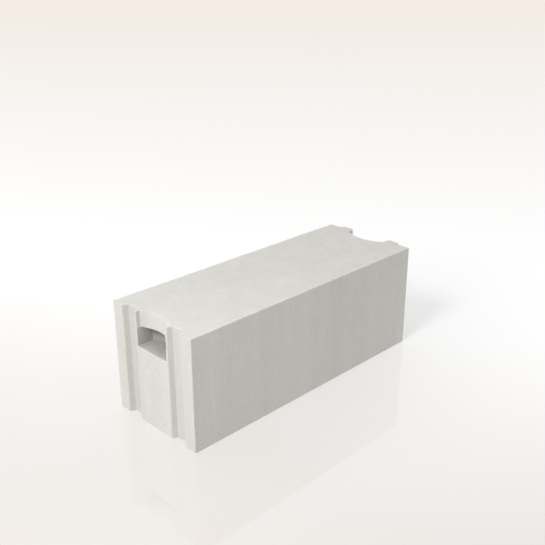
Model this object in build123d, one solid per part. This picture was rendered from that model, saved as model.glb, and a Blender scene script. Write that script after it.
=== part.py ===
from build123d import *
from math import sqrt
import os

# An autoclaved aerated concrete wall block, lying on its bed as it is laid in a wall.
# The block is cast in a large cake, sawn by wires and milled at its ends, so it is one piece
# with flat faces, crisp arrises, a groove-and-tongue pair at its ends and two hand-holds.
# Sizes are in millimetres. The origin is the centre of the bottom bed, midway between the end
# faces. +Y points to the tongued end, -Y to the grooved end, X runs through the wall, +Z is up.

# The block
LENGTH = 600.0
WIDTH = 220.0
HEIGHT = 222.0
ARRIS_RADIUS = 1.0
BED_CHAMFER = 0.8

# The two upright grooves in one end, open at both beds
JOINT_SPACING = 127.0
GROOVE_MOUTH = 37.5
GROOVE_DEPTH = 10.0
GROOVE_DRAFT = 5.0
GROOVE_LIP_RADIUS = 2.0
GROOVE_ROOT_RADIUS = 1.5

# The two upright tongues on the other end, which enter a neighbour's grooves
TONGUE_SIDE_CLEARANCE = 0.5
TONGUE_TIP_CLEARANCE = 0.5
TONGUE_DRAFT = 7.5
TONGUE_ROOT_RADIUS = 1.5
TONGUE_TIP_RADIUS = 2.5

# The hand-holds: a recess that is open at the top bed, over a deeper pocket for the fingers
GRIP_BACK_RADIUS = 80.0
GRIP_LIP = 3.5
GRIP_TONGUE_TRIM = 3.0
GRIP_UNDERCUT = 25.5
GROOVED_RECESS_DEPTH = 19.5
TONGUED_RECESS_DEPTH = 25.5
POCKET_FLOOR = 155.0
POCKET_HEIGHT = 34.5

# How far a cutting solid runs out of the faces that it opens
CUT_OVERRUN = 1.0

# Sizes that follow from the ones above
GROOVED_END = -LENGTH / 2
TONGUED_END = LENGTH / 2
JOINT_CENTRE = JOINT_SPACING / 2
TONGUE_BASE = GROOVE_MOUTH - 2 * TONGUE_SIDE_CLEARANCE
TONGUE_HEIGHT = GROOVE_DEPTH - TONGUE_TIP_CLEARANCE
GROOVED_GRIP_WIDTH = JOINT_SPACING - GROOVE_MOUTH - 2 * GRIP_LIP
TONGUED_GRIP_WIDTH = JOINT_SPACING - TONGUE_BASE + 2 * GRIP_TONGUE_TRIM


def block_plan():
    """The block seen from above. One half is drawn from end to end and mirrored."""
    groove_inner = JOINT_CENTRE - GROOVE_MOUTH / 2
    groove_outer = JOINT_CENTRE + GROOVE_MOUTH / 2
    groove_floor = GROOVED_END + GROOVE_DEPTH
    tongue_inner = JOINT_CENTRE - TONGUE_BASE / 2
    tongue_outer = JOINT_CENTRE + TONGUE_BASE / 2
    tongue_tip = TONGUED_END + TONGUE_HEIGHT
    side = WIDTH / 2
    corners = [
        (groove_inner, GROOVED_END, GROOVE_LIP_RADIUS),
        (groove_inner + GROOVE_DRAFT, groove_floor, GROOVE_ROOT_RADIUS),
        (groove_outer - GROOVE_DRAFT, groove_floor, GROOVE_ROOT_RADIUS),
        (groove_outer, GROOVED_END, GROOVE_LIP_RADIUS),
        (side, GROOVED_END, ARRIS_RADIUS),
        (side, TONGUED_END, ARRIS_RADIUS),
        (tongue_outer, TONGUED_END, TONGUE_ROOT_RADIUS),
        (tongue_outer - TONGUE_DRAFT, tongue_tip, TONGUE_TIP_RADIUS),
        (tongue_inner + TONGUE_DRAFT, tongue_tip, TONGUE_TIP_RADIUS),
        (tongue_inner, TONGUED_END, TONGUE_ROOT_RADIUS),
    ]
    points = [(x, y) for x, y, radius in corners]
    radii = [radius for x, y, radius in corners]
    half = FilletPolyline((0, GROOVED_END), *points, (0, TONGUED_END), radius=radii)
    return make_face(half + mirror(half, about=Plane.YZ))


def sawn_block():
    """The block before its hand-holds are milled, with the rims of both beds slightly broken."""
    prism = extrude(block_plan(), HEIGHT)
    beds = prism.faces().filter_by(Axis.Z)
    return chamfer(beds.edges(), BED_CHAMFER)


def grip_plan(width, depth, mouth):
    """One level of a hand-hold in plan, cut from the X axis towards +Y.

    The side walls are straight and the back is an arc. The mouth runs out past the end face.
    """
    half = width / 2
    arc_rise = GRIP_BACK_RADIUS - sqrt(GRIP_BACK_RADIUS**2 - half**2)
    wall = depth - arc_rise
    sides = Polyline((-half, wall), (-half, -mouth), (half, -mouth), (half, wall))
    back = ThreePointArc((half, wall), (0, depth), (-half, wall))
    return make_face(sides + back)


def hand_hold(width, recess_depth, mouth):
    """The space that is milled away: the pocket, and the recess from its floor to past the top."""
    recess = extrude(grip_plan(width, recess_depth, mouth), HEIGHT - POCKET_FLOOR + CUT_OVERRUN)
    pocket = extrude(grip_plan(width, recess_depth + GRIP_UNDERCUT, mouth), POCKET_HEIGHT)
    return Pos(0, 0, POCKET_FLOOR) * (recess + pocket)


def grooved_hand_hold():
    space = hand_hold(GROOVED_GRIP_WIDTH, GROOVED_RECESS_DEPTH, CUT_OVERRUN)
    return Pos(0, GROOVED_END, 0) * space


def tongued_hand_hold():
    """The wider hand-hold between the tongues, which also trims their inner flanks."""
    space = hand_hold(TONGUED_GRIP_WIDTH, TONGUED_RECESS_DEPTH, TONGUE_HEIGHT + CUT_OVERRUN)
    return Pos(0, TONGUED_END, 0) * Rot(0, 0, 180) * space


block = sawn_block() - grooved_hand_hold() - tongued_hand_hold()

os.makedirs("parts", exist_ok=True)
export_step(block, "parts/aerated_block.step")
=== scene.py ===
import math
import random
from functools import cache
from itertools import product

import bmesh
import bpy
import numpy as np
from mathutils import Matrix, Quaternion, Vector, noise
from mathutils.geometry import delaunay_2d_cdt


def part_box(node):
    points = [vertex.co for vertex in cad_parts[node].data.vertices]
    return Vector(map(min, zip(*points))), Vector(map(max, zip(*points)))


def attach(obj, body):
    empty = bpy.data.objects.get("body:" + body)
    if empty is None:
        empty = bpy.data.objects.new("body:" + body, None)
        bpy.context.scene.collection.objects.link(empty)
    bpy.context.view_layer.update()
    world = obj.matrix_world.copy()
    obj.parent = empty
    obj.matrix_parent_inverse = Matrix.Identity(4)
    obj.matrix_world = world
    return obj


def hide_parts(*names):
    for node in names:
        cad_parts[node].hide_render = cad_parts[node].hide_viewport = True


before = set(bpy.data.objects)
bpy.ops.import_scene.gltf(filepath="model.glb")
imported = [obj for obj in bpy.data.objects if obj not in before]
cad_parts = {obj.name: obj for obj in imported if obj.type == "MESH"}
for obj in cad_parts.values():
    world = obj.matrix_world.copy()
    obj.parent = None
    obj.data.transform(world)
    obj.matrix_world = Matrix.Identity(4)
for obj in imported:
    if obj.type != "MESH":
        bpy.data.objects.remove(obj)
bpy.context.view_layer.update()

# An aerated concrete wall block on a pale studio floor. Lengths are in metres.
# The block's own mesh is built here at the solid's sizes, with worn arrises, chips and open pores.

BLOCK_LOW, BLOCK_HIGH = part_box("aerated_block")
MM = 0.001
SEED = 20

# The block, from the frame
HALF_WIDTH = BLOCK_HIGH.x
TOP = BLOCK_HIGH.z
GROOVED_END = BLOCK_LOW.y
TONGUE_TIP = BLOCK_HIGH.y

# Grooves and tongues, seen from above
JOINT_CENTRE = 63.5 * MM
ARRIS_RADIUS = 1.0 * MM
GROOVE_MOUTH = 37.5 * MM
GROOVE_DEPTH = 10.0 * MM
GROOVE_DRAFT = 5.0 * MM
GROOVE_LIP_RADIUS = 2.0 * MM
GROOVE_ROOT_RADIUS = 1.5 * MM
TONGUE_BASE = 36.5 * MM
TONGUE_HEIGHT = 9.5 * MM
TONGUE_DRAFT = 7.5 * MM
TONGUE_ROOT_RADIUS = 1.5 * MM
TONGUE_TIP_RADIUS = 2.5 * MM
TONGUED_END = TONGUE_TIP - TONGUE_HEIGHT
GROOVE_INNER = JOINT_CENTRE - GROOVE_MOUTH / 2
GROOVE_OUTER = JOINT_CENTRE + GROOVE_MOUTH / 2
TONGUE_INNER = JOINT_CENTRE - TONGUE_BASE / 2
TONGUE_OUTER = JOINT_CENTRE + TONGUE_BASE / 2

# Hand-holds: a recess at the top of each end, and under it a pocket that goes in deeper
GRIP_BACK_RADIUS = 80.0 * MM
GRIP_UNDERCUT = 25.5 * MM
GROOVED_GRIP_HALF = 41.25 * MM
GROOVED_RECESS_DEPTH = 19.5 * MM
TONGUED_GRIP_HALF = 48.25 * MM
TONGUED_RECESS_DEPTH = 25.5 * MM
POCKET_FLOOR = 155.0 * MM
POCKET_CEILING = 189.5 * MM

# How finely the mesh is divided: short steps at the arrises, growing to long ones on the faces
FINE_STEP = 0.9 * MM
COARSE_STEP = 7.0 * MM
STEP_GROWTH = 1.7
ARC_STEP = math.radians(20)
BACK_STEP = 3.0 * MM
LATTICE_STEP = 6.5 * MM
RIM_ROWS = (FINE_STEP, FINE_STEP * (1 + STEP_GROWTH))
SAME_POINT = 1e-6
TRIANGLES_INSIDE = 1

# How far the points inside a flat face stay from its rim, as a share of the distance of the row
# that they are in, or of the lattice's step
ROW_CLEAR = 0.95
LATTICE_CLEAR = 0.6

# The finishes of the block's surface, in the order of its material slots
SAWN, MILLED, GROOVE, POCKET, LEDGE, BROKEN = range(6)

# Wear of the arrises. An edge is an arris from the first angle on, and is worn fully from the
# second. The wear's depth varies along it, and the points beside it get a share of the wear.
# The arrises, and by a share the points beside them, are also painted paler: partly the paleness
# of rubbed concrete, partly a painted highlight.
ARRIS_ANGLE = math.radians(12)
FULL_ARRIS_ANGLE = math.radians(60)
WEAR_LEAST = 0.15 * MM
WEAR_MOST = 0.95 * MM
WEAR_LENGTH = 11.0 * MM
FINE_WEAR_SCALE = 2.3
FINE_WEAR_SHARE = 0.5
WEAR_CONTRAST = 1.4
RING_SHARE = 0.2
WORN_AND_HIGHLIT_RING = 0.6
WORN_AND_HIGHLIT_LAYER = "worn_and_highlit"

# The faint waves that sawing and milling leave in the faces
WAVE_DEPTH = 0.12 * MM
WAVE_LENGTH = 70.0 * MM

# Chips along the arrises. Their radius goes from the least to the most, and a higher power makes
# large ones rarer. The ranges are shares of that radius, and so is how far off the arris the
# middle of a chip lies, before it bites.
CHIP_COUNT = 170
CHIP_LEAST = 1.3 * MM
CHIP_MOST = 4.5 * MM
CHIP_POWER = 3
CHIP_LENGTH = (1.0, 1.9)
CHIP_BREADTH = (0.8, 1.0)
CHIP_HEIGHT = (0.7, 1.0)
CHIP_BITE = (0.18, 0.4)
CHIP_STANDOFF = 0.85
CHIP_ROUGHNESS = 0.35
CHIP_DETAIL = 3

# Pores that the sawing has opened. Their radii spread round the usual one. The ranges are shares
# of a pore's radius: how far its middle stands out of the surface, and how long it is each way.
# Small pores have a plainer shape.
PORE_COUNT = 2400
PORE_RADIUS = 0.55 * MM
PORE_SPREAD = 0.45
PORE_MOST = 1.4 * MM
PORE_RISE = (-0.2, 0.6)
PORE_LENGTH = (0.8, 1.2)
PORE_ROUGHNESS = 0.25
PORE_REACH = PORE_LENGTH[1] * (1 + PORE_ROUGHNESS)
PORE_DETAIL = 2
SMALL_PORE = 0.7 * MM
SMALL_PORE_DETAIL = 1

# The noise that makes chips and pores uneven: its scale on a shape of radius 1, and how far apart
# in the noise the shapes are taken, for each metre that lies between them
LUMP_SCALE = 1.3
LUMP_SPREAD = 700

# How sharply the surface turns before its shading breaks
SMOOTH_ANGLE = math.radians(32)

# The concrete: its mean colour, and how it shades
CONCRETE = (0.735, 0.725, 0.69)
DULLNESS = 0.9
MOTTLE_DULLNESS = 0.1
RUBBED_DULLNESS = 0.05
DIFFUSE_ROUGHNESS = 0.6
SPECULAR_LEVEL = 0.25

# The patterns in the concrete, by the size of their features. Bands and marks are drawn out
# upright, and flecks a little, by counting only a share of the height.
CLOUD_SIZE = 150 * MM
MOTTLE_SIZE = 12 * MM
GRAIN_SIZE = 1.1 * MM
BAND_SIZE = 40 * MM
MARK_SIZE = 3.5 * MM
FLECK_SIZE = 4.5 * MM
UPRIGHT = 0.03
SLIGHTLY_UPRIGHT = 0.35

# The noise at which a pale fleck starts and is full. Dark flecks lie where it is as much below 0.
FLECK_START = 0.1
FLECK_FULL = 0.2

# How much lighter each pattern makes the concrete, as a share of its colour
CLOUD_LIGHT = 0.05
MOTTLE_LIGHT = 0.09
GRAIN_LIGHT = 0.10
BAND_LIGHT = 0.14
FLECK_LIGHT = 0.045
# The pores darken the colour as painted shade in their hollows
LARGE_PORE_LIGHT = -0.18
MIDDLE_PORE_LIGHT = -0.13
SMALL_PORE_LIGHT = -0.06
# The arrises are paler partly from rubbing and partly as a painted highlight
RUBBED_AND_HIGHLIGHT_LIGHT = 0.06

# How far each pattern stands out of the surface, as a share of the relief's depth
GRAIN_RELIEF = 0.5
LARGE_PORE_RELIEF = -1.0
MIDDLE_PORE_RELIEF = -0.7
SMALL_PORE_RELIEF = -0.35
RELIEF_DEPTH = 0.4 * MM
RELIEF_STRENGTH = 0.8

# Where a painted pore starts and is full: how far inside its rim, in cells of its pattern
PORE_START = -0.03
PORE_FULL = 0.12

# How far in from the end faces the painted shade in the pockets is at its darkest
PAINTED_SHADE_DEPTH = 38.0 * MM

# The floor: a white sheet that mirrors the block faintly and glows in a soft band behind it.
# The glow rises along a level direction that is turned to the right of the camera's, up to its
# peak, and falls off again along the camera's own. Distances start at the block's origin.
FLOOR_WIDTH = 60.0
FLOOR_COLOR = (0.7, 0.7, 0.7, 1.0)
FLOOR_ROUGHNESS = 0.04
FLOOR_IOR = 1.75
GLOW_TURN = math.radians(17.4)
GLOW_START = -1.02
GLOW_PEAK = 0.52
GLOW_REACH = 5.1
GLOW_EDGE = (0.085, 0.038, 0.0, 1.0)
GLOW_BRIGHT = (0.423, 0.423, 0.423, 1.0)

# A painted shadow: the glow is weaker round a place under the block, a little towards its tongued
# end, out to SHADE_REACH from there. Lengths along the block are squeezed, so it reaches further
# that way.
SHADE_CENTRE = 0.15
SHADE_SQUEEZE = 0.5
SHADE_REACH = 0.48
SHADE_GLOW = 0.77

# The lamps: a large key lamp before the grooved end, and a small fill lamp nearer to it
KEY_PLACE = Vector((0.6, -4.6, 4.2))
KEY_SIZE = 1.7
KEY_POWER = 132.0
FILL_PLACE = Vector((0.3, -0.8, 0.7))
FILL_SIZE = 0.4
FILL_POWER = 1.56
LAMP_TARGET = Vector((0.0, -0.2, 0.15))

# The pale room and the brighter wall behind the block, by the direction in which they lie, of
# length 1. WALL_FACING is how far it points behind the block, and feet and heads how far it rises.
# HORIZON and ROOM_EDGE are the colours at the level of the floor.
WALL_FACING = 0.7
WALL_FOOT = 0.35
WALL_HEAD = (0.7, 0.9)
ROOM_FOOT = 0.12
WALL = (0.85, 0.85, 0.85, 1.0)
HORIZON = (0.83, 0.78, 0.73, 1.0)
ROOM = (0.485, 0.485, 0.485, 1.0)
ROOM_EDGE = (0.64, 0.62, 0.6, 1.0)

# The camera, placed as the photograph's perspective shows
CAMERA_PLACE = Vector((1.0199, -1.0218, 0.8174))
CAMERA_AIM = Vector((-0.6532, 0.6538, -0.3818))
CAMERA_LENS = 52.4
SENSOR_WIDTH = 36.0
VIEW_LIMIT = 200.0


def graded(length):
    """Distances along a stretch of the outline, without its far end: short steps near both ends."""
    ends = []
    step = FINE_STEP
    reach = 0.0
    while step < COARSE_STEP and reach + step < length / 2 - step / 2:
        reach += step
        ends.append(reach)
        step *= STEP_GROWTH
    middle = length - 2 * reach
    count = max(1, round(middle / COARSE_STEP))
    between = [reach + middle * i / count for i in range(1, count)]
    return [0.0] + ends + between + [length - d for d in reversed(ends)]


def rounded_corner(before, corner, after, radius):
    """The points of one rounded corner, from the first tangent point to the second."""
    back = (before - corner).normalized()
    ahead = (after - corner).normalized()
    turn = math.pi - back.angle(ahead)
    reach = radius * math.tan(turn / 2)
    start = corner + back * reach
    centre = corner + (back + ahead).normalized() * (radius / math.cos(turn / 2))
    count = max(2, math.ceil(turn / ARC_STEP))
    side = math.copysign(1.0, back.x * ahead.y - back.y * ahead.x)
    spoke = start - centre
    points = []
    for i in range(count + 1):
        angle = -side * turn * i / count
        cos, sin = math.cos(angle), math.sin(angle)
        points.append(centre + Vector((spoke.x * cos - spoke.y * sin, spoke.x * sin + spoke.y * cos)))
    return points


def trace(corners):
    """An open path in plan through (x, y, radius) corners, divided into graded steps."""
    places = [Vector(c[:2]) for c in corners]
    bends = [[places[0]]]
    for i in range(1, len(corners) - 1):
        radius = corners[i][2]
        if radius:
            bends.append(rounded_corner(places[i - 1], places[i], places[i + 1], radius))
        else:
            bends.append([places[i]])
    bends.append([places[-1]])
    path = []
    for bend, following in zip(bends, bends[1:]):
        path.extend(bend[:-1])
        start, end = bend[-1], following[0]
        span = end - start
        path.extend(start + span * (d / span.length) for d in graded(span.length))
    path.append(bends[-1][0])
    return path


def mirrored(path):
    """The same path on the other side of the block, still running the same way round."""
    return [Vector((-p.x, p.y)) for p in reversed(path)]


def flank_place():
    """Where the hand-hold's side wall meets the inner flank of a tongue."""
    share = (TONGUED_GRIP_HALF - TONGUE_INNER) / TONGUE_DRAFT
    return TONGUED_GRIP_HALF, TONGUED_END + TONGUE_HEIGHT * share, 0


def right_side():
    """The plan from the grooved end's hand-hold, round the right side, to the tongued end's."""
    groove_floor = GROOVED_END + GROOVE_DEPTH
    return trace([
        (GROOVED_GRIP_HALF, GROOVED_END, 0),
        (GROOVE_INNER, GROOVED_END, GROOVE_LIP_RADIUS),
        (GROOVE_INNER + GROOVE_DRAFT, groove_floor, GROOVE_ROOT_RADIUS),
        (GROOVE_OUTER - GROOVE_DRAFT, groove_floor, GROOVE_ROOT_RADIUS),
        (GROOVE_OUTER, GROOVED_END, GROOVE_LIP_RADIUS),
        (HALF_WIDTH, GROOVED_END, ARRIS_RADIUS),
        (HALF_WIDTH, TONGUED_END, ARRIS_RADIUS),
        (TONGUE_OUTER, TONGUED_END, TONGUE_ROOT_RADIUS),
        (TONGUE_OUTER - TONGUE_DRAFT, TONGUE_TIP, TONGUE_TIP_RADIUS),
        (TONGUE_INNER + TONGUE_DRAFT, TONGUE_TIP, TONGUE_TIP_RADIUS),
        flank_place(),
    ])


def tongued_panel():
    """The plan between the tongues below the hand-hold, from right to left."""
    right = flank_place()
    left = (-right[0], right[1], 0)
    return trace([
        right,
        (TONGUE_INNER, TONGUED_END, TONGUE_ROOT_RADIUS),
        (-TONGUE_INNER, TONGUED_END, TONGUE_ROOT_RADIUS),
        left,
    ])


def grip_back(half, end, inward, depth):
    """The curved back of a hand-hold from +X to -X, inward being the way into the block."""
    count = math.ceil(2 * half / BACK_STEP)
    deepest = end + inward * depth
    points = []
    for i in range(count + 1):
        x = half * math.cos(math.pi * i / count)
        rise = GRIP_BACK_RADIUS - math.sqrt(GRIP_BACK_RADIUS**2 - x**2)
        points.append(Vector((x, deepest - inward * rise)))
    return points


def grip_wall(half, end, inward, depth):
    """How far along Y a hand-hold's straight side wall reaches before the curved back starts."""
    rise = GRIP_BACK_RADIUS - math.sqrt(GRIP_BACK_RADIUS**2 - half**2)
    return end + inward * (depth - rise)


def grip_paths(half, mouth, end, inward, recess_depth):
    """The recess's and the pocket's plans from +X to -X, with the parts that the two share apart."""
    recess_wall = grip_wall(half, end, inward, recess_depth)
    pocket_depth = recess_depth + GRIP_UNDERCUT
    pocket_wall = grip_wall(half, end, inward, pocket_depth)
    shared = trace([(half, mouth, 0), (half, recess_wall, 0)])
    deeper = trace([(half, recess_wall, 0), (half, pocket_wall, 0)])
    recess_back = grip_back(half, end, inward, recess_depth)
    pocket_back = deeper[:-1] + grip_back(half, end, inward, pocket_depth) + mirrored(deeper)[1:]
    recess = shared[:-1] + recess_back + mirrored(shared)[1:]
    pocket = shared[:-1] + pocket_back + mirrored(shared)[1:]
    return recess, pocket, recess_back, pocket_back


class Shell:
    """Collects the faces of the block, so that faces that meet share their points."""

    def __init__(self):
        self.mesh = bmesh.new()
        self.known = {}

    def point(self, x, y, z):
        """The point at a place, made only once."""
        key = (round(x / SAME_POINT), round(y / SAME_POINT), round(z / SAME_POINT))
        if key not in self.known:
            self.known[key] = self.mesh.verts.new((x, y, z))
        return self.known[key]

    def walls(self, loop, low, high):
        """Upright faces under a closed loop that runs anticlockwise seen from above."""
        levels = [low + d for d in graded(high - low)] + [high]
        following = loop[1:] + loop[:1]
        for below, above in zip(levels, levels[1:]):
            for p, q in zip(loop, following):
                corners = [(p, below), (q, below), (q, above), (p, above)]
                made = self.mesh.faces.new([self.point(c.x, c.y, z) for c, z in corners])
                made.material_index = wall_finish((p + q) / 2, (below + above) / 2)

    def level(self, loop, z, up, finish):
        """A flat horizontal face inside a closed loop, divided by a lattice of inner points."""
        count = len(loop)
        rim = [(i, (i + 1) % count) for i in range(count)]
        places = loop + inner_points(loop)
        points, _, faces, *_ = delaunay_2d_cdt(places, rim, [], TRIANGLES_INSIDE, SAME_POINT)
        for face in faces:
            made = self.mesh.faces.new([self.point(*points[i], z) for i in face])
            made.material_index = finish
            made.normal_update()
            if (made.normal.z > 0) != up:
                made.normal_flip()


def wall_finish(place, height):
    """The finish of an upright face at a place in plan and a height."""
    grip_half = GROOVED_GRIP_HALF if place.y < 0 else TONGUED_GRIP_HALF
    if abs(place.x) > HALF_WIDTH - SAME_POINT:
        return SAWN
    if POCKET_FLOOR < height < POCKET_CEILING and abs(place.x) < grip_half + SAME_POINT:
        return POCKET
    if GROOVED_END + SAME_POINT < place.y < 0 and abs(place.x) > grip_half + SAME_POINT:
        return GROOVE
    return MILLED


def clearances(places, loop):
    """Each place's distance to the rim of a closed loop, or -1 where it lies outside."""
    starts = np.array(loop)
    spans = np.roll(starts, -1, axis=0) - starts
    points = np.array(places)[:, None]
    offsets = points - starts
    shares = np.clip((offsets * spans).sum(2) / (spans**2).sum(1), 0, 1)
    nearest = np.sqrt(((offsets - spans * shares[..., None]) ** 2).sum(2)).min(1)
    low, high = starts[:, 1], starts[:, 1] + spans[:, 1]
    height = points[..., 1]
    crosses = (low > height) != (high > height)
    rise = np.where(spans[:, 1] == 0, 1, spans[:, 1])
    meets = starts[:, 0] + (height - low) * spans[:, 0] / rise
    inside = (crosses & (points[..., 0] < meets)).sum(1) % 2 == 1
    return np.where(inside, nearest, -1)


def inner_points(loop):
    """Two rows of points that follow the rim of a closed loop, and a lattice inside it."""
    candidates = []
    for a, b in zip(loop, loop[1:] + loop[:1]):
        normal = Vector((a.y - b.y, b.x - a.x)).normalized()
        candidates += [((a + b) / 2 + normal * d, d * ROW_CLEAR) for d in RIM_ROWS]
    x_low, x_high = min(p.x for p in loop), max(p.x for p in loop)
    y_low, y_high = min(p.y for p in loop), max(p.y for p in loop)
    for j in range(math.ceil((y_high - y_low) / LATTICE_STEP)):
        for i in range(math.ceil((x_high - x_low) / LATTICE_STEP)):
            x = x_low + (i + j % 2 / 2) * LATTICE_STEP
            y = y_low + j * LATTICE_STEP
            candidates.append((Vector((x, y)), LATTICE_STEP * LATTICE_CLEAR))
    clear = clearances([place for place, _ in candidates], loop)
    return [place for (place, least), free in zip(candidates, clear) if free > least]


def block_shell():
    """The closed block with sharp arrises."""
    right = right_side()
    left = mirrored(right)
    panel = tongued_panel()
    flank_y = flank_place()[1]
    front = trace([(-GROOVED_GRIP_HALF, GROOVED_END, 0), (GROOVED_GRIP_HALF, GROOVED_END, 0)])
    near = grip_paths(GROOVED_GRIP_HALF, GROOVED_END, GROOVED_END, 1, GROOVED_RECESS_DEPTH)
    far = grip_paths(TONGUED_GRIP_HALF, flank_y, TONGUED_END, -1, TONGUED_RECESS_DEPTH)
    near_recess, near_pocket, near_recess_back, near_pocket_back = near
    far_recess, far_pocket, far_recess_back, far_pocket_back = far

    base = right[:-1] + panel[:-1] + left[:-1] + front[:-1]
    middle = right[:-1] + far_pocket[:-1] + left[:-1] + near_pocket[:0:-1]
    upper = right[:-1] + far_recess[:-1] + left[:-1] + near_recess[:0:-1]

    shell = Shell()
    shell.walls(base, 0.0, POCKET_FLOOR)
    shell.walls(middle, POCKET_FLOOR, POCKET_CEILING)
    shell.walls(upper, POCKET_CEILING, TOP)
    shell.level(base, 0.0, False, SAWN)
    shell.level(upper, TOP, True, SAWN)
    shell.level(front[:-1] + near_pocket[:-1], POCKET_FLOOR, True, LEDGE)
    shell.level(far_pocket[:-1] + panel[:0:-1], POCKET_FLOOR, True, LEDGE)
    shell.level(near_recess_back[:-1] + near_pocket_back[:0:-1], POCKET_CEILING, False, POCKET)
    shell.level(far_recess_back[:-1] + far_pocket_back[:0:-1], POCKET_CEILING, False, POCKET)
    shell.mesh.normal_update()
    return shell.mesh


def arrises(mesh):
    """The edges where the block's surface turns outwards, each with how far it turns."""
    turns = [(e, e.calc_face_angle_signed()) for e in mesh.edges]
    return [(e, turn) for e, turn in turns if turn > ARRIS_ANGLE]


def wear(mesh):
    """Breaks the arrises unevenly and makes the faces faintly wavy, always inwards.

    A layer of the mesh tells the materials where the arrises are rubbed and painted with a highlight.
    """
    worn_and_highlit = mesh.verts.layers.float.new(WORN_AND_HIGHLIT_LAYER)
    sharpness = {}
    for edge, turn in arrises(mesh):
        for v in edge.verts:
            sharpness[v] = max(sharpness.get(v, 0.0), min(1.0, turn / FULL_ARRIS_ANGLE))
    depths = {}
    for v, sharp in sharpness.items():
        coarse = noise.noise(v.co / WEAR_LENGTH)
        fine = noise.noise(v.co / WEAR_LENGTH * FINE_WEAR_SCALE)
        uneven = min(1.0, max(0.0, coarse + fine * FINE_WEAR_SHARE) * WEAR_CONTRAST)
        depths[v] = sharp * (WEAR_LEAST + (WEAR_MOST - WEAR_LEAST) * uneven)
        # The arris itself gets the full rubbed paleness and painted highlight
        v[worn_and_highlit] = 1.0
    for v in sharpness:
        for edge in v.link_edges:
            other = edge.other_vert(v)
            if other not in sharpness:
                depths[other] = max(depths.get(other, 0.0), depths[v] * RING_SHARE)
                other[worn_and_highlit] = WORN_AND_HIGHLIT_RING
    moves = []
    for v in mesh.verts:
        wave = WAVE_DEPTH * (1 + noise.noise(v.co / WAVE_LENGTH)) / 2
        moves.append(v.normal * -(wave + depths.get(v, 0.0)))
    for v, move in zip(mesh.verts, moves):
        v.co += move
    mesh.normal_update()


class Spacing:
    """Keeps the cutting shapes of one cut clear of each other, where none reaches further than most."""

    def __init__(self, most):
        self.cell = 2 * most
        self.taken = {}

    def claim(self, place, reach):
        """True, and the place is taken, where no other shape is in the way."""
        x, y, z = (math.floor(c / self.cell) for c in place)
        for key in product((x - 1, x, x + 1), (y - 1, y, y + 1), (z - 1, z, z + 1)):
            for other, other_reach in self.taken.get(key, []):
                if (other - place).length < reach + other_reach:
                    return False
        self.taken.setdefault((x, y, z), []).append((place, reach))
        return True


@cache
def unit_ball(detail):
    """The points and faces of a ball, finer as detail grows."""
    ball = bmesh.new()
    bmesh.ops.create_icosphere(ball, subdivisions=detail, radius=1.0)
    ball.verts.index_update()
    points = [v.co.copy() for v in ball.verts]
    faces = [[v.index for v in f.verts] for f in ball.faces]
    ball.free()
    return points, faces


class Lumps:
    """Rounded, uneven shapes that are cut out of the block."""

    def __init__(self, roughness):
        self.roughness = roughness
        self.points = []
        self.faces = []

    def add(self, place, radii, turn, detail):
        """Adds a shape with its own three radii, turned by a quaternion."""
        first = len(self.points)
        elsewhere = place * LUMP_SPREAD
        points, faces = unit_ball(detail)
        for p in points:
            swell = 1 + self.roughness * noise.noise(p * LUMP_SCALE + elsewhere)
            self.points.append(place + turn @ Vector(c * r * swell for c, r in zip(p, radii)))
        self.faces += [[first + i for i in face] for face in faces]


def random_turn(chance):
    """A turn by any angle round any axis."""
    axis = Vector(chance.gauss(0, 1) for _ in range(3)).normalized()
    return Quaternion(axis, chance.uniform(0, math.tau))


def make_chips(mesh):
    """Uneven lumps that bite shallowly into the arrises."""
    chance = random.Random(SEED)
    found = arrises(mesh)
    weights = [e.calc_length() * turn for e, turn in found]
    chips = Lumps(CHIP_ROUGHNESS)
    spacing = Spacing(CHIP_MOST * CHIP_LENGTH[1] * (1 + CHIP_ROUGHNESS))
    for edge, _ in chance.choices(found, weights, k=CHIP_COUNT):
        start, end = (v.co for v in edge.verts)
        outward = sum((f.normal for f in edge.link_faces), Vector()).normalized()
        radius = CHIP_LEAST + (CHIP_MOST - CHIP_LEAST) * chance.random() ** CHIP_POWER
        bite = radius * chance.uniform(*CHIP_BITE)
        length = radius * chance.uniform(*CHIP_LENGTH)
        breadth = radius * chance.uniform(*CHIP_BREADTH)
        height = radius * chance.uniform(*CHIP_HEIGHT)
        place = start.lerp(end, chance.random()) + outward * (radius * CHIP_STANDOFF - bite)
        if spacing.claim(place, length * (1 + CHIP_ROUGHNESS)):
            along = (end - start).to_track_quat("X", "Z")
            chips.add(place, (length, breadth, height), along, CHIP_DETAIL)
    return chips


def make_pores(mesh):
    """Small rounded hollows anywhere on the surface."""
    chance = random.Random(SEED + 1)
    faces = list(mesh.faces)
    weights = [f.calc_area() for f in faces]
    pores = Lumps(PORE_ROUGHNESS)
    spacing = Spacing(PORE_MOST * PORE_REACH)
    for face in chance.choices(faces, weights, k=PORE_COUNT):
        radius = min(PORE_MOST, PORE_RADIUS * math.exp(chance.gauss(0, PORE_SPREAD)))
        shares = [chance.random() for _ in face.verts]
        place = sum((v.co * s for v, s in zip(face.verts, shares)), Vector()) / sum(shares)
        place += face.normal * radius * chance.uniform(*PORE_RISE)
        radii = [radius * chance.uniform(*PORE_LENGTH) for _ in range(3)]
        detail = SMALL_PORE_DETAIL if radius < SMALL_PORE else PORE_DETAIL
        if spacing.claim(place, radius * PORE_REACH):
            pores.add(place, radii, random_turn(chance), detail)
    return pores


def add_object(name, data):
    """A new object in the scene that holds a mesh, a light or a camera."""
    made = bpy.data.objects.new(name, data)
    bpy.context.scene.collection.objects.link(made)
    return made


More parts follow.
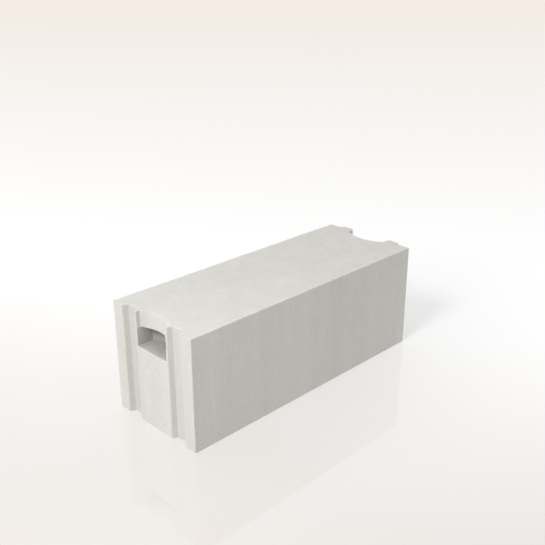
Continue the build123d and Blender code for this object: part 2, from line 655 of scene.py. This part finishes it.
def cut(block, lumps, name):
    """Takes the lumps out of the block. The faces that they leave are broken ones."""
    data = bpy.data.meshes.new(name)
    data.from_pydata(lumps.points, [], lumps.faces)
    data.polygons.foreach_set("material_index", [BROKEN] * len(lumps.faces))
    for material in block.data.materials:
        data.materials.append(material)
    tool = add_object(name, data)
    modifier = block.modifiers.new(name, "BOOLEAN")
    modifier.object = tool
    modifier.operation = "DIFFERENCE"
    modifier.solver = "MANIFOLD"
    graph = bpy.context.evaluated_depsgraph_get()
    result = bpy.data.meshes.new_from_object(block.evaluated_get(graph))
    block.modifiers.clear()
    block.data = result
    bpy.data.objects.remove(tool)


def make_block():
    """The block: its sharp shell, worn, chipped and opened by pores."""
    shell = block_shell()
    chips = make_chips(shell)
    pores = make_pores(shell)
    wear(shell)
    data = bpy.data.meshes.new("aerated_concrete")
    shell.to_mesh(data)
    shell.free()
    for finish in FINISHES:
        data.materials.append(finish())
    block = add_object("aerated_concrete", data)
    cut(block, chips, "chips")
    cut(block, pores, "pores")
    block.data.shade_smooth()
    block.data.set_sharp_from_angle(angle=SMOOTH_ANGLE)
    return block


class Nodes:
    """Adds nodes to one node tree."""

    def __init__(self, owner):
        owner.use_nodes = True
        self.tree = owner.node_tree
        self.tree.nodes.clear()

    def add(self, kind, inputs, **settings):
        """Adds a node. An input that is another node's output is linked, and any other is set."""
        node = self.tree.nodes.new("ShaderNode" + kind)
        for name, value in settings.items():
            setattr(node, name, value)
        for key, value in inputs.items():
            if isinstance(value, bpy.types.NodeSocket):
                self.tree.links.new(value, node.inputs[key])
            else:
                node.inputs[key].default_value = value
        return node

    def math(self, operation, *values):
        """The result of a sum on values and other nodes' outputs."""
        return self.add("Math", dict(enumerate(values)), operation=operation).outputs[0]

    def step(self, value, low, high, start=0.0, end=1.0):
        """A smooth step from start to end while the value goes from low to high."""
        limits = {"From Min": low, "From Max": high, "To Min": start, "To Max": end}
        inputs = {"Value": value, **limits}
        return self.add("MapRange", inputs, interpolation_type="SMOOTHSTEP").outputs[0]

    def mix(self, share, first, second):
        """The colour that goes from first to second as the share goes from 0 to 1."""
        return self.add("MixRGB", {"Fac": share, "Color1": first, "Color2": second}).outputs[0]

    def noise(self, place, size, detail, roughness=0.55):
        """Fractal noise from about -0.5 to 0.5 with features of the given size."""
        inputs = {"Vector": place, "Scale": 1 / size, "Detail": detail, "Roughness": roughness}
        return self.math("SUBTRACT", self.add("TexNoise", inputs).outputs["Fac"], 0.5)

    def drawn_upright(self, place, share):
        """The place with only a share of its height, which draws out upright what is painted by it."""
        return self.add("Mapping", {"Vector": place, "Scale": (1.0, 1.0, share)}).outputs[0]

    def pores(self, place, spacing, radius, share):
        """Round hollows, 1 inside and 0 outside: a share of the cells of a random pattern has one."""
        cells = self.add("TexVoronoi", {"Vector": place, "Scale": 1 / spacing})
        chance = self.add("SeparateColor", {"Color": cells.outputs["Color"]}).outputs[0]
        reach = self.step(chance, 1 - share, 1.0, 0.0, radius / spacing)
        inside = self.math("SUBTRACT", reach, cells.outputs["Distance"])
        return self.step(inside, PORE_START, PORE_FULL)

    def total(self, start, *terms):
        """The start plus each (value, weight) term."""
        for value, weight in terms:
            start = self.math("MULTIPLY_ADD", value, weight, start)
        return start


def concrete(name, tone, marks_light, marks_relief, coarseness, painted_shade=0.0):
    """Aerated concrete: clouded, mottled and full of fine pores, paler at its arrises, partly from
    rubbing and partly as a painted highlight.

    Its mean colour is scaled by tone. Upright marks from sawing or milling show by marks_light in
    its colour and by marks_relief in its relief, and coarseness is how strongly its grain shows.
    Painted shade darkens it more and more with the depth from the end faces.
    """
    material = bpy.data.materials.new(name)
    nodes = Nodes(material)
    place = nodes.add("TexCoord", {}).outputs["Object"]
    upright = nodes.drawn_upright(place, UPRIGHT)
    taller = nodes.drawn_upright(place, SLIGHTLY_UPRIGHT)
    worn_and_highlit = nodes.add("Attribute", {}, attribute_name=WORN_AND_HIGHLIT_LAYER).outputs["Fac"]
    along = nodes.math("ABSOLUTE", nodes.add("SeparateXYZ", {0: place}).outputs["Y"])
    # Painted shade that grows with the depth from the end faces
    deep_shade = nodes.step(along, TONGUED_END - PAINTED_SHADE_DEPTH, TONGUED_END, 1.0, 0.0)
    clouds = nodes.noise(place, CLOUD_SIZE, detail=3.0)
    mottle = nodes.noise(place, MOTTLE_SIZE, detail=5.0, roughness=0.65)
    grain = nodes.noise(place, GRAIN_SIZE, detail=3.0, roughness=0.7)
    bands = nodes.noise(upright, BAND_SIZE, detail=3.0)
    marks = nodes.noise(upright, MARK_SIZE, detail=3.0, roughness=0.6)
    flecks = nodes.noise(taller, FLECK_SIZE, detail=2.0)
    large = nodes.pores(place, spacing=8 * MM, radius=1.1 * MM, share=0.5)
    middle = nodes.pores(place, spacing=2.6 * MM, radius=0.75 * MM, share=0.6)
    small = nodes.pores(place, spacing=1.0 * MM, radius=0.36 * MM, share=0.8)

    light = nodes.total(
        tone,
        (clouds, CLOUD_LIGHT),
        (mottle, MOTTLE_LIGHT),
        (grain, GRAIN_LIGHT * coarseness),
        (bands, BAND_LIGHT),
        (marks, marks_light),
        (nodes.step(flecks, FLECK_START, FLECK_FULL), FLECK_LIGHT),
        (nodes.step(flecks, -FLECK_START, -FLECK_FULL), -FLECK_LIGHT),
        # Painted shade in the pores' hollows
        (large, LARGE_PORE_LIGHT),
        (middle, MIDDLE_PORE_LIGHT),
        (small, SMALL_PORE_LIGHT),
        # Rubbed paleness and a painted highlight along the arrises
        (worn_and_highlit, RUBBED_AND_HIGHLIGHT_LIGHT),
        (deep_shade, -painted_shade),
    )
    color = nodes.add("VectorMath", {0: CONCRETE, "Scale": light}, operation="SCALE").outputs[0]
    height = nodes.total(
        0.0,
        (grain, GRAIN_RELIEF * coarseness),
        (marks, marks_relief),
        (large, LARGE_PORE_RELIEF),
        (middle, MIDDLE_PORE_RELIEF),
        (small, SMALL_PORE_RELIEF),
    )
    relief = {"Height": height, "Strength": RELIEF_STRENGTH, "Distance": RELIEF_DEPTH}
    shading = {
        "Base Color": color,
        "Roughness": nodes.total(DULLNESS, (mottle, MOTTLE_DULLNESS), (worn_and_highlit, RUBBED_DULLNESS)),
        "Diffuse Roughness": DIFFUSE_ROUGHNESS,
        "Specular IOR Level": SPECULAR_LEVEL,
        "Normal": nodes.add("Bump", relief).outputs[0],
    }
    shader = nodes.add("BsdfPrincipled", shading)
    nodes.add("OutputMaterial", {"Surface": shader.outputs[0]})
    return material


def sawn_concrete():
    """The long sides and the beds, cut by wires."""
    return concrete("sawn_concrete", tone=1.0, marks_light=0.04, marks_relief=0.15, coarseness=1.0)


def milled_concrete():
    """The ends, tongues and recesses, with faint marks that run up and down."""
    return concrete("milled_concrete", tone=1.0, marks_light=0.05, marks_relief=0.6, coarseness=1.2)


def groove_concrete():
    """The grooves, a little darker with painted shade."""
    return concrete("groove_concrete", tone=0.93, marks_light=0.09, marks_relief=0.6, coarseness=1.2)


def pocket_concrete():
    """The pockets for the fingers, milled more roughly, and darker with painted shade, most at their
    backs.
    """
    return concrete(
        "pocket_concrete", tone=0.85, marks_light=0.09, marks_relief=0.6, coarseness=1.6, painted_shade=0.17,
    )


def ledge_concrete():
    """The floors of the pockets, much darker with painted shade."""
    return concrete(
        "ledge_concrete", tone=0.7, marks_light=0.0, marks_relief=0.0, coarseness=1.6, painted_shade=0.14,
    )


def broken_concrete():
    """The rough insides of chips and open pores."""
    return concrete("broken_concrete", tone=1.0, marks_light=0.0, marks_relief=0.0, coarseness=3.0)


FINISHES = (
    sawn_concrete, milled_concrete, groove_concrete, pocket_concrete, ledge_concrete, broken_concrete,
)


def behind(turn=0.0):
    """The level direction in which the camera looks, turned to the right by an angle."""
    ahead = Vector((CAMERA_AIM.x, CAMERA_AIM.y, 0)).normalized()
    return Matrix.Rotation(-turn, 3, "Z") @ ahead


def distance(nodes, place, direction):
    """How far a place lies along a direction."""
    return nodes.add("VectorMath", {0: place, 1: direction}, operation="DOT_PRODUCT").outputs["Value"]


def glowing_floor():
    """White, faintly mirroring, with the glow behind the block, weaker under it as a painted shadow."""
    material = bpy.data.materials.new("floor")
    nodes = Nodes(material)
    place = nodes.add("TexCoord", {}).outputs["Object"]
    rise = nodes.step(distance(nodes, place, behind(GLOW_TURN)), GLOW_START, GLOW_PEAK)
    from_peak = nodes.math("SUBTRACT", distance(nodes, place, behind()), GLOW_PEAK)
    past_peak = nodes.math("MAXIMUM", from_peak, 0.0)
    share = nodes.math("DIVIDE", rise, nodes.total(1.0, (past_peak, 1 / GLOW_REACH)))
    squeezed = {
        "Vector": place,
        "Scale": (1.0, SHADE_SQUEEZE, 1.0),
        "Location": (0.0, -SHADE_CENTRE * SHADE_SQUEEZE, 0.0),
    }
    from_centre = nodes.add("Mapping", squeezed).outputs[0]
    away = nodes.add("VectorMath", {0: from_centre}, operation="LENGTH").outputs["Value"]
    shading = {
        "Base Color": FLOOR_COLOR,
        "Roughness": FLOOR_ROUGHNESS,
        "IOR": FLOOR_IOR,
        "Emission Color": nodes.mix(share, GLOW_EDGE, GLOW_BRIGHT),
        # The glow is weaker near the block, as a painted shadow
        "Emission Strength": nodes.step(away, 0.0, SHADE_REACH, SHADE_GLOW, 1.0),
    }
    shader = nodes.add("BsdfPrincipled", shading)
    nodes.add("OutputMaterial", {"Surface": shader.outputs[0]})
    return material


def make_floor():
    """A wide plain sheet that the block stands on."""
    plan = bmesh.new()
    bmesh.ops.create_grid(plan, x_segments=1, y_segments=1, size=FLOOR_WIDTH / 2)
    data = bpy.data.meshes.new("floor")
    plan.to_mesh(data)
    plan.free()
    data.materials.append(glowing_floor())
    floor = add_object("floor", data)


def aimed(place, direction):
    """The matrix of a camera or light at a place that looks along a direction."""
    return Matrix.LocRotScale(place, direction.to_track_quat("-Z", "Y"), None)


def make_lamp(name, place, size, power):
    """A round soft lamp that neither the camera nor the floor's mirror shows."""
    data = bpy.data.lights.new(name, "AREA")
    data.shape = "DISK"
    data.size = size
    data.energy = power
    lamp = add_object(name, data)
    lamp.matrix_world = aimed(place, LAMP_TARGET - place)
    lamp.visible_camera = False
    lamp.visible_glossy = False


def make_surroundings():
    """A pale room with a brighter wall behind the block, which the floor mirrors."""
    world = bpy.data.worlds.new("studio")
    bpy.context.scene.world = world
    nodes = Nodes(world)
    direction = nodes.add("TexCoord", {}).outputs["Generated"]
    rise = nodes.add("SeparateXYZ", {0: direction}).outputs["Z"]
    facing = nodes.step(distance(nodes, direction, behind()), 0.0, WALL_FACING)
    below_head = nodes.step(rise, *WALL_HEAD, 1.0, 0.0)
    wall = nodes.mix(nodes.step(rise, 0.0, WALL_FOOT), HORIZON, WALL)
    room = nodes.mix(nodes.step(rise, 0.0, ROOM_FOOT), ROOM_EDGE, ROOM)
    color = nodes.mix(nodes.math("MULTIPLY", facing, below_head), room, wall)
    shader = nodes.add("Background", {"Color": color})
    nodes.add("OutputWorld", {"Surface": shader.outputs[0]})


def make_camera():
    """The camera, which sees the block as the photograph does."""
    data = bpy.data.cameras.new("camera")
    data.lens = CAMERA_LENS
    data.sensor_width = SENSOR_WIDTH
    data.clip_end = VIEW_LIMIT
    camera = add_object("camera", data)
    camera.matrix_world = aimed(CAMERA_PLACE, CAMERA_AIM)
    bpy.context.scene.camera = camera


block = make_block()
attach(block, "root")
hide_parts("aerated_block")

make_floor()
make_lamp("key", KEY_PLACE, KEY_SIZE, KEY_POWER)
make_lamp("fill", FILL_PLACE, FILL_SIZE, FILL_POWER)
make_surroundings()
make_camera()
bpy.context.scene.view_settings.view_transform = "Standard"
